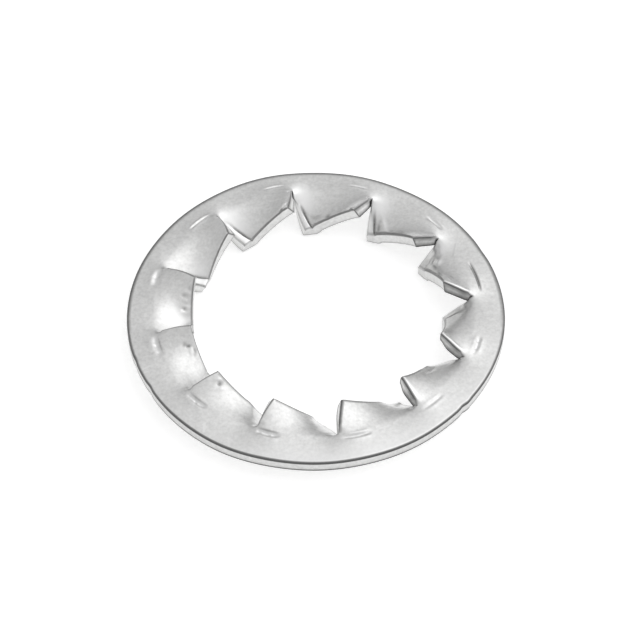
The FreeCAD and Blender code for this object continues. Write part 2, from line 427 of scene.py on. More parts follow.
BULGES = (
    Bulge(359, 24, 0.15), Bulge(119, 20, 0.095), Bulge(247, 20, 0.08), Bulge(297, 18, 0.03),
    Bulge(214, 9, -0.06), Bulge(59, 16, -0.045), Bulge(31, 3, -0.04), Bulge(205, 1.5, -0.04),
    Bulge(216, 1.6, -0.05), Bulge(326.5, 1.2, -0.05), Bulge(329.0, 1.5, 0.04),
)


@dataclass(frozen=True)
class Highlight:
    """A painted highlight: a soft bright place on the upper side."""

    angle: float
    """Its middle, in degrees counter-clockwise from +X."""
    radius: float
    wide: float
    """Half size along the arc."""
    long: float
    """Half size outwards."""
    bright: float


# Painted highlights; most lie at the root of a lowered edge.
HIGHLIGHTS = (
    Highlight(101.8, 10.15, wide=0.85, long=1.00, bright=1.1),
    Highlight(131.0, 9.80, wide=1.00, long=1.10, bright=0.9),
    Highlight(71.5, 10.30, wide=0.75, long=0.90, bright=1.1),
    Highlight(41.2, 10.30, wide=0.70, long=0.85, bright=1.1),
    Highlight(158.5, 9.00, wide=1.10, long=0.60, bright=0.8),
)


@dataclass(frozen=True)
class Place:
    """One place in the flat blank, in millimetres."""

    number: int
    """The tooth whose sector it lies in."""
    in_tooth: bool
    radius: float
    across: float
    """Signed distance along the arc from the tooth's centre line, counter-clockwise positive."""
    width: float
    """Half the width of the tooth or the sector there."""
    from_tip: float
    """Distance out from the tip edge."""
    depth: float
    """Depth in the sheet, from 0 at the upper side to 1 at the lower side."""
    degrees: float
    """Angle counter-clockwise from +X."""

    @property
    def share(self) -> float:
        """Place across the tooth or sector, from -1 to 1."""
        return self.across / self.width

    @property
    def to_side(self) -> float:
        """Distance in from the nearer side."""
        return self.width - abs(self.across)

    @property
    def upper(self) -> bool:
        """Whether it is on the upper side."""
        return self.depth < ON_FACE

    @property
    def cut(self) -> bool:
        """Whether it is on a cut edge, between the two sides of the sheet."""
        return ON_FACE < self.depth < 1 - ON_FACE

    @property
    def raised(self) -> bool:
        """Whether the nearest edge is the tooth's raised one."""
        return self.across < 0 and self.to_side < self.from_tip


@dataclass
class Washer:
    """The whole washer: a flat blank with slots, rolled edges and marks, then formed by twisting
    every tooth. Sizes are in millimetres until the mesh is finished."""

    outer: float = (CAD_BOX[1].x - CAD_BOX[0].x) / 2 / MM
    top: float = mount("ring_top")["pos_m"][2] / MM
    under: float = mount("ring_underside")["pos_m"][2] / MM
    tip: float = mount("bolt_hole")["dims"]["r_mm"]
    slot_end: float = 10.8
    """Radius of the closed slot ends."""
    tear_length: float = 0.3
    """Stretch over which the slot's two faces part."""
    slot_root: float = 0.025
    """Half width of a slot near its closed end."""
    slot_tip: float = 0.12
    """Half width of a slot at the tips, as first cut."""
    slot_shift_power: float = 1.5
    rim_roll: float = 0.17
    edge_roll: float = 0.15
    under_chamfer: float = 0.03
    rim_chamfer: float = 0.1
    roll_fade: float = 0.6
    """Stretch over which a tooth's rolled edge fades out at the slot end."""
    wall_steps: tuple[float, ...] = (0.1, 0.37, 0.33, 0.2)
    """Shares of the thickness from loop to loop of the cut edges."""
    twist_softness: float = 0.07
    fold_softness: float = 0.035
    root_foot_share: float = 0.25
    root_step_share: float = 0.1
    flank_width: float = 0.5
    drag_from: float = 0.3
    """Place across the tooth, left of the middle, from which the tip edge is dragged."""
    drag_length: float = 0.3
    worn_length: float = 0.35
    dish: float = 0.12
    """Rise of the ring's inner edge above its rim."""
    dish_power: float = 1.2
    rim_droop: float = 0.07
    bulge_start: float = 11.7
    """Radius from which the ring follows the rim's bulges."""
    crescent_bluntness: float = 0.6
    """Below 1, the crescents keep their depth close to their points."""
    crescent_bow: float = 0.35
    """How far a crescent's middle bows outwards, in half widths."""
    crescent_lip: float = 1.9
    # Half width of the painted shade line beside a crescent, in the crescent's half widths.
    crescent_line: float = 0.45
    swelling_end: float = 3.0
    """Distance from its middle at which a swelling ends, in half sizes."""
    ripple_waves: tuple[tuple[float, float], ...] = ((2.1, 2.3), (3.7, 1.9))
    """The ripples' waves: how close they follow, and how they shift from tooth to tooth."""
    sector: float = math.radians(30)
    columns: int = 58
    edge_columns: tuple[float, ...] = (0.0, 0.015, 0.045, 0.09, 0.15, 0.24)
    tip_rows: tuple[float, ...] = (0.0, 0.015, 0.045, 0.09, 0.15)
    tooth_rows: int = 17
    mark_rows: int = 22
    mark_from: float = 10.84
    """Inner radius of the band of close rows for the crescents."""
    mark_to: float = 11.76
    outer_rows: int = 7
    rim_rows: tuple[float, ...] = (0.2, 0.14, 0.08, 0.03, 0.0)
    line_fade: float = 0.5
    # """How fast the painted shade lines fade: below 1 they stay dark for most of their width."""
    """How fast the dark lines fade: below 1 they stay dark for most of their width."""
    rim_line: float = 0.14
    # """Width of the painted shade line where the rim's upper edge rolls over."""
    """Width of the dark line where the rim's upper edge rolls over."""
    far_rim_line: float = 0.2
    # """How much wider that painted shade line is on the far side."""
    """How much wider that line is on the far side."""
    far_side: float = 97.0
    """Middle of the far side, in degrees counter-clockwise from +X."""
    far_reach: tuple[float, float] = (120.0, 60.0)
    """Degrees away from there at which the far side ends, and over which it begins."""
    # Painted shade on the rim's cut wall, and more of it just above its lower edge.
    rim_darkness: float = 0.18
    rim_low_darkness: float = 0.27
    low_loop: float = 0.75
    high_loop: float = 0.2
    """Depths in the sheet from which a cut edge counts as low, and up to which as high."""
    # Strength of the painted shade lines along the teeth's upper edges, their share left at the slot ends,
    # and their strength along the lower edges.
    tooth_line: float = 0.85
    root_line_share: float = 0.35
    under_line: float = 0.55
    low_darkness: float = 0.16
    # """Painted shade on the teeth's cut edges just above their lower line; the raised sides differ."""
    """Darkness of the teeth's cut edges just above their lower line; the raised sides differ."""
    raised_low_darkness: float = 0.45
    raised_high_darkness: float = 0.5
    # Strength of the painted shade lines along the foot's edges.
    foot_line: float = 0.45
    foot_from: float = 0.1
    """Distance beyond the crease from which an edge counts as the foot's."""
    fold_line: float = 0.15
    # """Half width of the painted shade line in the crease."""
    """Half width of the crease's dark line."""
    fold_growth: float = 1.6
    fold_gap: float = 0.02
    """Distance that the crease keeps from the edges."""
    # Painted shade on the tips' cut faces.
    tip_darkness: float = 0.14
    corner_line: float = 0.1
    # """Width of the painted shade line down a raised tip corner."""
    """Width of the dark line down a raised tip corner."""
    # Painted sheen on the ring's upper side: its strength, middle and reach.
    sheen: float = 0.6
    sheen_side: float = 290.0
    # """Middle of the painted sheen, in degrees counter-clockwise from +X."""
    """Middle of the rubbed part, in degrees counter-clockwise from +X."""
    sheen_reach: float = 42.0

    @property
    def thickness(self) -> float:
        """Thickness of the sheet."""
        return self.top - self.under

    @property
    def parting(self) -> float:
        """Radius inside which a slot's two faces have fully parted."""
        return self.slot_end - self.tear_length

    def outward_share(self, radius: float) -> float:
        """Share of the way from the slot ends to the rim, not limited."""
        return (radius - self.slot_end) / (self.outer - self.slot_end)

    def inward_share(self, radius: float) -> float:
        """Share of the way from the slot ends to the tips, not limited."""
        return (self.slot_end - radius) / (self.slot_end - self.tip)

    def growth_at(self, radius: float) -> float:
        """Share of a tooth's full twist at a radius, not limited."""
        return (self.parting - radius) / (self.parting - self.tip)

    def root_fade(self, radius: float) -> float:
        """0 at the slot end, 1 where a tooth's edges are fully rolled."""
        return clamp((self.slot_end - radius) / self.roll_fade)

    def foot_width(self, tooth: Tooth, growth: float) -> float:
        """Width of the foot at a share of the full twist."""
        return tooth.foot * (self.root_foot_share + (1 - self.root_foot_share) * growth)

    def row_plan(self) -> list[tuple[bool, float]]:
        """Plans the rows from the tips to the rim.

        Returns:
            One pair for each row: whether it belongs to a tooth, and either its distance from
            the tip edge or its radius in the ring.
        """
        *first, last = self.tip_rows
        tooth = first + spaced(last, self.slot_end - self.tip, self.tooth_rows)
        ring = [self.slot_end] + spaced(self.mark_from, self.mark_to, self.mark_rows)
        ring += spaced(self.mark_to, self.outer - self.rim_rows[0], self.outer_rows)
        ring += [self.outer - distance for distance in self.rim_rows]
        return [(True, distance) for distance in tooth] + [(False, radius) for radius in ring]

    def half_width(self, radius: float) -> float:
        """Half the tooth's width along the arc, from its centre line to the slot's side."""
        gap = self.slot_root + (self.slot_tip - self.slot_root) * clamp(self.inward_share(radius))
        return radius * self.sector / 2 - gap

    def across_place(self, column: int, width: float) -> float:
        """Finds how far from the centre line a column of the grid lies.

        Args:
            column: The column, from 0 at the clockwise side.
            width: Half the width that the columns fill.

        Returns:
            The signed distance along the arc, counter-clockwise positive.
        """
        edge = self.edge_columns
        if column < len(edge):
            return edge[column] - width
        mirrored = self.columns - column
        if mirrored < len(edge):
            return width - edge[mirrored]
        inner = width - edge[-1]
        share = (column - len(edge) + 1) / (self.columns - 2 * (len(edge) - 1))
        return inner * (2 * share - 1)

    def blank_sector(self) -> bpy.types.Object:
        """Makes one twelfth of the flat blank as a grid, laid out about the washer's axis.

        Returns:
            The sector's object, with each vertex's row and column as attributes.
        """
        rows = self.row_plan()
        bpy.ops.object.select_all(action="DESELECT")
        bpy.ops.mesh.primitive_grid_add(x_subdivisions=self.columns, y_subdivisions=len(rows) - 1, size=2)
        sector = bpy.context.object
        mesh = sector.data
        places = []
        for vertex in mesh.vertices:
            column = round((vertex.co.x + 1) / 2 * self.columns)
            row = round((vertex.co.y + 1) / 2 * (len(rows) - 1))
            in_tooth, distance = rows[row]
            radius = self.tip + distance if in_tooth else distance
            width = self.half_width(radius) if in_tooth else radius * self.sector / 2
            angle = self.across_place(column, width) / radius
            vertex.co = (radius * math.cos(angle), radius * math.sin(angle), 0)
            places.append((column, row))
        for name, values in zip(("column", "row"), zip(*places)):
            mesh.attributes.new(name, "FLOAT", "POINT").data.foreach_set("value", values)
        return sector

    def flat_blank(self) -> bpy.types.Object:
        """Joins twelve sectors into the slotted flat ring and gives it the sheet's thickness.

        Returns:
            The blank's object, its upper side at height 0.
        """
        first = self.blank_sector()
        sectors = [first]
        for index in range(1, len(TEETH)):
            copy = first.copy()
            copy.data = first.data.copy()
            copy.data.transform(Matrix.Rotation(self.sector * index, 4, "Z"))
            bpy.context.collection.objects.link(copy)
            sectors.append(copy)
        for index, piece in enumerate(sectors):
            tooth = piece.data.attributes.new("tooth", "FLOAT", "POINT")
            tooth.data.foreach_set("value", [index] * len(piece.data.vertices))
            piece.select_set(True)
        bpy.context.view_layer.objects.active = first
        bpy.ops.object.join()
        bpy.ops.object.mode_set(mode="EDIT")
        bpy.ops.mesh.select_all(action="SELECT")
        bpy.ops.mesh.remove_doubles(threshold=1e-4)
        for share in self.wall_steps:
            drop = (0, 0, -self.thickness * share)
            bpy.ops.mesh.extrude_region_move(TRANSFORM_OT_translate={"value": drop})
        bpy.ops.mesh.select_all(action="SELECT")
        bpy.ops.mesh.normals_make_consistent(inside=False)
        bpy.ops.object.mode_set(mode="OBJECT")
        return first

    def form(self, tooth: Tooth, radius: float, across: float, normal: float) -> tuple[float, float]:
        """Twists one place of the flat sheet about its tooth's centre line.

        Args:
            tooth: The tooth's forming.
            radius: Distance from the washer's axis.
            across: Signed distance along the arc from the centre line.
            normal: Height above the middle of the sheet.

        Returns:
            The sideways distance along the arc and the height above the ring's middle.
        """
        count = len(TEETH)
        turn = across / radius * count
        spreading = clamp(self.parting / radius) ** count
        reach = radius / count * 2 * math.atan2(spreading * math.sin(turn), 1 + spreading * math.cos(turn))
        growth = ramp(self.growth_at(radius), self.twist_softness)
        main = math.radians(tooth.root_slope + (tooth.twist - tooth.root_slope) * growth)
        down = main + math.radians(tooth.step_slope - tooth.twist) * growth
        level = main + math.radians(tooth.foot_slope - tooth.twist) * growth
        width = self.half_width(min(radius, self.slot_end))
        foot = self.foot_width(tooth, growth)
        step = tooth.step * clamp(growth + self.root_step_share)
        to_step = ramp(reach - (width - foot - step), self.fold_softness)
        to_foot = ramp(reach - (width - foot), self.fold_softness)
        sideways, height, tilt, last = across, 0.0, main, 0.0
        for slope, past in ((main, reach), (down, to_step), (level, to_foot)):
            sideways += (math.cos(slope) - math.cos(last)) * past
            height -= (math.sin(slope) - math.sin(last)) * past
            if last:
                tilt += (slope - last) * clamp(past / (past + 2 * self.fold_softness))
            last = slope
        tilt *= clamp(abs(reach / across) if across else 1)
        lean = tooth.spread * growth * (0.5 - normal / self.thickness)
        lean *= clamp((reach - width + self.flank_width) / self.flank_width) ** 2
        sideways += normal * math.sin(tilt) + lean - tooth.shift * growth
        return sideways, height + normal * math.cos(tilt) - tooth.drop * growth

    def tip_radius(self, tooth: Tooth, angle: float) -> float:
        """Finds which place in the flat blank the twist brings onto the tip circle.

        Args:
            tooth: The tooth's forming.
            angle: Angle from the tooth's centre line.

        Returns:
            Its radius in the flat.
        """
        target = self.tip + tooth.tip + tooth.skew * angle / (self.sector / 2)
        radius = target
        for _ in range(4):
            sideways, _height = self.form(tooth, radius, radius * angle, 0)
            radius += target - math.hypot(radius * math.cos(angle), sideways)
        return radius

    def find_place(self, number: int, column: int, row: tuple[bool, float], depth: float) -> Place:
        """Finds a vertex's place in the flat blank, its tooth trimmed to end on the tip circle.

        Args:
            number: Its tooth.
            column: Its column of the grid.
            row: Its row, as planned.
            depth: Its depth in the sheet, from 0 to 1.

        Returns:
            The place.
        """
        in_tooth, distance = row
        if in_tooth:
            nominal = self.tip + distance
            angle = self.across_place(column, self.half_width(nominal)) / nominal
            trim = self.tip_radius(TEETH[number], angle) - self.tip
            radius = nominal + trim * ease(self.inward_share(nominal))
            width = self.half_width(radius)
        else:
            radius, width = distance, distance * self.sector / 2
        across = self.across_place(column, width)
        degrees = math.degrees(across / radius + self.sector * number)
        from_tip = distance if in_tooth else self.slot_end
        return Place(number, in_tooth, radius, across, width, from_tip, depth, degrees)

    def roll_at(self, place: Place) -> tuple[float, float]:
        """Finds how the blank's cut edges are rolled and broken.

        Args:
            place: The place in the blank.

        Returns:
            The fall of the upper side and the rise of the lower side.
        """
        if not place.in_tooth:
            distance = self.outer - place.radius
            return rolled(distance, self.rim_roll), self.rim_chamfer * (distance < ON_EDGE)
        fade = self.root_fade(place.radius)
        roll = self.edge_roll * fade
        fall = rolled(place.to_side, roll) + rolled(place.from_tip, roll)
        on_edge = min(place.to_side, place.from_tip) < ON_EDGE
        return min(fall, roll), self.under_chamfer * on_edge * fade

    def slot_pull(self, place: Place) -> tuple[float, float]:
        """Finds how the uneven slots pull a place along.

        Args:
            place: The place in the blank.

        Returns:
            The turn in radians and the push outwards.
        """
        one, two = SLOTS[place.number], SLOTS[(place.number + 1) % len(SLOTS)]
        part = clamp((place.share + 1) / 2)
        turn = math.radians(one.turn + (two.turn - one.turn) * part)
        push = one.push + (two.push - one.push) * part
        if place.in_tooth:
            return turn, push * clamp(1 - self.inward_share(place.radius)) ** self.slot_shift_power
        fade = 1 - ease((place.radius - self.slot_end) / (self.outer - self.rim_roll - self.slot_end))
        return turn * fade, push * fade

    def bulge_at(self, place: Place) -> float:
        """Finds how far the rim's bulges push a place out.

        Args:
            place: The place in the blank.

        Returns:
            The added radius.
        """
        total = 0.0
        for bulge in BULGES:
            total += bulge.height * bell(degrees_away(place.degrees, bulge.angle) / bulge.reach)
        return total * ease((place.radius - self.bulge_start) / (self.outer - self.bulge_start))

    def crescent_at(self, place: Place) -> tuple[float, float]:
        """Finds what a crescent does to the ring's upper side.

        Args:
            place: The place in the blank.

        Returns:
            The added height, and the painted highlight, or below 0 the painted shade.
        """
        mark = TEETH[place.number].crescent
        degrees = math.degrees(place.across / place.radius + self.sector / 2)
        share = (degrees - mark.start) / mark.length
        if not 0 < share < 1:
            return 0.0, 0.0
        bow = math.sin(math.pi * share)
        waves = sum(math.sin(degrees * rate + place.number * shift) for rate, shift in self.ripple_waves)
        strength = bow ** self.crescent_bluntness * (1 - mark.ripple * (0.5 + 0.25 * waves))
        offset = (place.radius - mark.radius) / mark.width - self.crescent_bow * bow
        groove = strength * bell(offset)
        lips = strength * bell(abs(offset) - self.crescent_lip)
        line = mark.line * bell((offset - mark.line_side) / self.crescent_line) * math.sqrt(bow)
        return mark.lip * lips - mark.depth * groove, mark.bright * groove - line

    def swelling_at(self, place: Place) -> tuple[float, float]:
        """Finds what burrs and dimples do to a tooth's upper side.

        Args:
            place: The place in the blank.

        Returns:
            The added height, and the painted shade, or below 0 the painted highlight.
        """
        height = tone = 0.0
        for swelling in TEETH[place.number].swellings:
            lean = math.radians(swelling.lean)
            sideways = (place.share - swelling.across) * place.width
            outward = place.from_tip - swelling.outward
            along = (sideways * math.cos(lean) + outward * math.sin(lean)) / swelling.wide
            beside = (outward * math.cos(lean) - sideways * math.sin(lean)) / swelling.long
            if math.hypot(along, beside) < self.swelling_end:
                height += swelling.height * bell(along, beside)
                tone += swelling.tone * bell(along, beside)
        return height, tone

    def highlight_at(self, place: Place) -> float:
        """Finds the painted sheen and painted highlights on the upper side.

        Args:
            place: The place in the blank.

        Returns:
            Their strength.
        """
        away = degrees_away(place.degrees, self.sheen_side) / self.sheen_reach
        total = self.sheen * bell(away) * ease(self.outward_share(place.radius))
        for highlight in HIGHLIGHTS:
            aside = math.radians(degrees_away(place.degrees, highlight.angle)) * place.radius / highlight.wide
            total += highlight.bright * bell(aside, (place.radius - highlight.radius) / highlight.long)
        return total

    def line_at(self, distance: float, reach: float) -> float:
        """A painted shade line's strength at a distance from its edge."""
        return clamp(1 - distance / reach) ** self.line_fade

    def ring_darkness(self, place: Place) -> float:
        """Finds the painted shade on the ring beside and on the rim's cut edge.

        Args:
            place: The place in the blank.

        Returns:
            1 on the darkest painted line, 0 where none is painted.
        """
        if place.cut:
            return max(self.rim_low_darkness * (place.depth > self.low_loop), self.rim_darkness)
        end, stretch = self.far_reach
        far = ease((end - degrees_away(place.degrees, self.far_side)) / stretch)
        return self.line_at(self.outer - place.radius, self.rim_line + self.far_rim_line * far)

    def tooth_darkness(self, place: Place) -> float:
        """Finds the painted shade on a tooth beside and on its cut edges and in the crease above its foot.

        Args:
            place: The place in the blank.

        Returns:
            1 on the darkest painted line, 0 where none is painted.
        """
        tooth = TEETH[place.number]
        fade = self.root_fade(place.radius)
        if place.cut:
            low = self.raised_low_darkness if place.raised else self.low_darkness
            line = low * (place.depth > self.low_loop)
            if place.raised and place.depth < self.high_loop:
                line = self.raised_high_darkness * fade
            corner = clamp(1 - max(place.to_side, place.from_tip) / self.corner_line) * (place.across < 0)
            return max(corner, line, self.tip_darkness * (place.from_tip < ON_EDGE))
        distance = min(place.to_side, place.from_tip)
        line = self.line_at(distance, tooth.line * (tooth.raised_line if place.raised else 1.0))
        if not place.upper:
            return line if place.raised else line * self.under_line
        growth = clamp(self.growth_at(place.radius))
        fold = place.across - (place.width - self.foot_width(tooth, growth) - tooth.step * tooth.fold_place)
        crease = tooth.fold * ease(growth * self.fold_growth) * clamp(1 - abs(fold) / self.fold_line)
        strength = self.root_line_share + (1 - self.root_line_share) * fade
        strength *= self.foot_line if fold > self.foot_from else self.tooth_line
        return max(crease * (distance > self.fold_gap), strength * line)

    def formed(self, place: Place, marks: float) -> Vector:
        """Brings a place of the blank to its spot in the formed washer.

        Args:
            place: The place in the blank.
            marks: Height that marks add to the sheet there.

        Returns:
            The spot, in millimetres.
        """
        tooth = TEETH[place.number]
        half = self.thickness / 2
        fall, rise = self.roll_at(place)
        if place.in_tooth:
            rise += tooth.worn * clamp(-place.share) ** 4 * bell(place.from_tip / self.worn_length)
        normal = (half - fall) * (1 - place.depth) + (rise - half) * place.depth + marks
        sideways, height = self.form(tooth, place.radius, place.across, normal)
        dish = self.dish * clamp(1 - self.outward_share(place.radius)) ** self.dish_power
        height += (self.top + self.under) / 2 + dish - self.rim_droop
        if place.in_tooth and place.across < 0:
            sideways += tooth.narrow * clamp(self.growth_at(place.radius)) * place.share ** 2
        drag = tooth.lean * (place.share + self.drag_from) / (1 + self.drag_from)
        drag *= math.exp(-place.from_tip / self.drag_length)
        radius = place.radius + (0.0 if place.in_tooth else self.bulge_at(place))
        angle = place.across / place.radius
        forward = radius * math.cos(angle) - drag * normal / half
        spot = Vector((forward, radius * math.sin(angle) + sideways - place.across, max(height, 0)))
        turn, push = self.slot_pull(place)
        spot.xy *= 1 + push / spot.xy.length
        spot.rotate(Matrix.Rotation(self.sector * place.number + turn, 3, "Z"))
        return spot

    def shape(self, washer: bpy.types.Object) -> None:
        """Moves every vertex of the flat blank to its spot and notes its painted shade and painted highlight.

        Args:
            washer: The blank's object. Its mesh ends in metres.
        """
        mesh = washer.data
        rows = self.row_plan()
        columns, row_of, tooth_of = (
            [round(item.value) for item in mesh.attributes[name].data] for name in ("column", "row", "tooth")
        )
        sheared, burnished = [], []
        for vertex in mesh.vertices:
            index = vertex.index
            depth = clamp(-vertex.co.z / self.thickness)
            place = self.find_place(tooth_of[index], columns[index], rows[row_of[index]], depth)
            marks = tone = bright = painted_light = 0.0
            if place.upper:
                painted_light = self.highlight_at(place)
                if place.in_tooth:
                    marks, tone = self.swelling_at(place)
                else:
                    marks, bright = self.crescent_at(place)
            dark = self.tooth_darkness(place) if place.in_tooth else self.ring_darkness(place)
            vertex.co = self.formed(place, marks) * MM
            # Painted shade from dark lines, creases and dark marks, and painted highlights from bright marks
            # and sheen.
            sheared.append(clamp(max(dark, tone, -bright)))
            burnished.append(clamp(max(bright, -tone, painted_light)))
        for name in ("column", "row", "tooth"):
            mesh.attributes.remove(mesh.attributes[name])
        for name, values in (("sheared", sheared), ("burnished", burnished)):
            mesh.attributes.new(name, "FLOAT", "POINT").data.foreach_set("value", values)

    def build(self) -> bpy.types.Object:
        """Models the washer.

        Returns:
            The finished object, at the origin.
        """
        washer = self.flat_blank()
        washer.name = washer.data.name = "formed_washer"
        self.shape(washer)
        bpy.ops.object.select_all(action="DESELECT")
        washer.select_set(True)
        bpy.context.view_layer.objects.active = washer
        bpy.ops.object.shade_smooth_by_angle(angle=math.radians(42))
        return washer


class Wire:
    """A shader socket that does arithmetic by adding its own Math nodes."""

    def __init__(self, tree: Tree, socket: bpy.types.NodeSocket) -> None:
        """Keeps the node tree and the output socket."""
        self.tree = tree
        self.socket = socket

    def math(self, operation: str, other: Any, swapped: bool = False) -> "Wire":
        """Adds one Math node.

        Args:
            operation: The Math node's operation.
            other: A number or another wire.
            swapped: Whether the other value comes first.

        Returns:
            The result's wire.
        """
        pair = (other, self) if swapped else (self, other)
        return add_node(self.tree, "ShaderNodeMath", {"operation": operation}, *pair)

    def __add__(self, other: Any) -> "Wire":
        """Sum."""
        return self.math("ADD", other)

    __radd__ = __add__

    def __sub__(self, other: Any) -> "Wire":
        """Difference."""
        return self.math("SUBTRACT", other)

    def __rsub__(self, other: Any) -> "Wire":
        """Difference from a number."""
        return self.math("SUBTRACT", other, True)

    def __mul__(self, other: Any) -> "Wire":
        """Product."""
        return self.math("MULTIPLY", other)

    __rmul__ = __mul__


def feed(tree: Tree, pairs: list[tuple[bpy.types.NodeSocket, Any]]) -> None:
    """Links a wire, or gives a plain value, to each socket.

    Args:
        tree: The node tree.
        pairs: Each socket with its wire or value.
    """
    for socket, value in pairs:
        if isinstance(value, Wire):
            tree.links.new(value.socket, socket)
        else:
            socket.default_value = value


def add_node(tree: Tree, kind: str, settings: dict[str, Any], *values: Any, out: Any = 0,
             **named: Any) -> Wire:
    """Adds one node, sets it up and feeds its sockets.

    Args:
        tree: The node tree.
        kind: The node's type.
        settings: Properties that are set before the sockets; "stops" fills a colour ramp.
        values: Numbers, colours or wires for the first sockets in order.
        out: The output socket that is wanted.
        named: Numbers, colours or wires by socket name, with _ for a space.

    Returns:
        The wire of the wanted output.
    """
    node = tree.nodes.new(kind)
    for name, value in settings.items():
        if name == "stops":
            ramp_of = node.color_ramp
            while len(ramp_of.elements) < len(value):
                ramp_of.elements.new(0.5)
            for element, (place, level) in zip(ramp_of.elements, value):
                element.position = place
                element.color = (level, level, level, 1)
        else:
            setattr(node, name, value)
    pairs = list(zip(node.inputs, values))
    pairs += [(node.inputs[key.replace("_", " ")], value) for key, value in named.items()]
    feed(tree, pairs)
    return Wire(tree, node.outputs[out] if node.outputs else None)


def mixed(tree: Tree, factor: Any, first: Any, second: Any) -> Wire:
    """Blends two colours.

    Args:
        tree: The node tree.
        factor: Share of the second.
        first: A colour or a wire.
        second: The other.

    Returns:
        The blend's wire.
    """
    node = add_node(tree, "ShaderNodeMix", {"data_type": "RGBA"}, out=2)
    inputs = node.socket.node.inputs
    feed(tree, [(inputs[0], factor), (inputs[6], first), (inputs[7], second)])
    return node


@dataclass(frozen=True)
class SatinSteel:
    """Lightly tumbled sheet steel: satin faces with a fine mottled grain, cut edges rougher, with painted
    shade along the edges and in creases and painted highlights on raised places.
    """

    face: Colour = (0.84, 0.84, 0.835, 1)
    shade: Colour = (0.67, 0.67, 0.665, 1)
    # The edge colour is painted shade, laid along edges, in creases and on dark marks.
    edge: Colour = (0.07, 0.07, 0.07, 1)
    bright: Colour = (0.98, 0.98, 0.98, 1)
    # """Colour of the painted highlights."""
    """Metal burnished by the die."""
    roughness: float = 0.30
    roughness_change: float = 0.07
    edge_roughness: float = 0.12
    grain_scale: float = 3000.0
    cloud_scale: float = 420.0
    speckle_scale: float = 5200.0
    grain_height: float = 0.0000055
    cloud_height: float = 0.000018
    cloud_share: float = 0.4
    """Share of the soft clouds in the tone."""
    tone_gain: float = 1.35
    tone_shift: float = 1.12

    def scratched(self, tree: Tree, place: Wire) -> Wire:
        """Adds up the scratches.

        Args:
            tree: The node tree.
            place: The place on the washer, in metres.

        Returns:
            A wire with the tones of the scratches, 0 beside them.
        """
        east = add_node(tree, "ShaderNodeSeparateXYZ", {}, place, out="X")
        north = add_node(tree, "ShaderNodeSeparateXYZ", {}, place, out="Y")
        total = east * 0.0
        for scratch in SCRATCHES:
            start, end = Vector(scratch.start) * MM, Vector(scratch.end) * MM
            line = end - start
            way = line.normalized()
            along = ((east - start.x) * way.x + (north - start.y) * way.y) * (1 / line.length)
            aside = ((east - start.x) * way.y - (north - start.y) * way.x) * (1 / (scratch.width * MM))
            near = (1.0 - aside.math("MULTIPLY", aside)).math("MAXIMUM", 0.0)
            inside = (along * (1.0 - along) * 4.0).math("MAXIMUM", 0.0)
            total = total + near * inside * scratch.tone
        return total

    def make(self) -> bpy.types.Material:
        """Makes the finish.

        Returns:
            The material.
        """
        material = bpy.data.materials.new("satin_steel")
        material.use_nodes = True
        tree = material.node_tree
        tree.nodes.clear()
        place = add_node(tree, "ShaderNodeTexCoord", {}, out="Object")
        grain = add_node(tree, "ShaderNodeTexNoise", {}, Vector=place, Scale=self.grain_scale, Detail=3.0)
        cloud = add_node(tree, "ShaderNodeTexNoise", {}, Vector=place, Scale=self.cloud_scale, Detail=4.0,
                         Roughness=0.6)
        # Mask of painted shade along the edges, in creases and on dark marks; it also makes those places
        # rougher.
        cut = add_node(tree, "ShaderNodeAttribute", {"attribute_name": "sheared"}, out="Fac")
        speckle = add_node(tree, "ShaderNodeTexNoise", {}, Vector=place, Scale=self.speckle_scale, Detail=2.0)
        marks = self.scratched(tree, place)
        mottle = (cloud * self.cloud_share + grain + speckle) * self.tone_gain - self.tone_shift
        tone = mixed(tree, mottle + marks, self.shade, self.face)
        # Mask of painted highlights: bright marks, ridges, strips and sheen.
        highlight_mask = add_node(tree, "ShaderNodeAttribute", {"attribute_name": "burnished"}, out="Fac")
        # Painted highlights lighten the grain, and painted shade darkens it towards the edge colour.
        colour = mixed(tree, cut, mixed(tree, highlight_mask, tone, self.bright), self.edge)
        roughness = self.roughness + (cloud - 0.5) * self.roughness_change + cut * self.edge_roughness
        height = cloud * self.cloud_height + grain * self.grain_height
        relief = add_node(tree, "ShaderNodeBump", {}, Strength=1.0, Distance=1.0, Height=height)
        steel = add_node(tree, "ShaderNodeBsdfPrincipled", {}, Base_Color=colour, Metallic=1.0,
                         Roughness=roughness, Normal=relief)
        add_node(tree, "ShaderNodeOutputMaterial", {}, steel)
        return material


@dataclass(frozen=True)
class WhiteTable:
    """White table that stays white to the eye and in reflections, and keeps a soft shadow."""

    colour: Colour = (0.9, 0.9, 0.9, 1)
    lift: float = 0.45
    """Light added for the eye and for reflections, so that the bare table is white."""

    def make(self) -> bpy.types.Material:
        """Makes the finish.

        Returns:
            The material.
        """
        material = bpy.data.materials.new("white_table")
        material.use_nodes = True
        tree = material.node_tree
        tree.nodes.clear()
        seen = Studio.seen(tree)
        matt = add_node(tree, "ShaderNodeBsdfDiffuse", {}, Color=self.colour)
        glow = add_node(tree, "ShaderNodeEmission", {}, Color=(1, 1, 1, 1), Strength=seen * self.lift)
        both = add_node(tree, "ShaderNodeAddShader", {}, matt, glow)
        add_node(tree, "ShaderNodeOutputMaterial", {}, both)
        return material


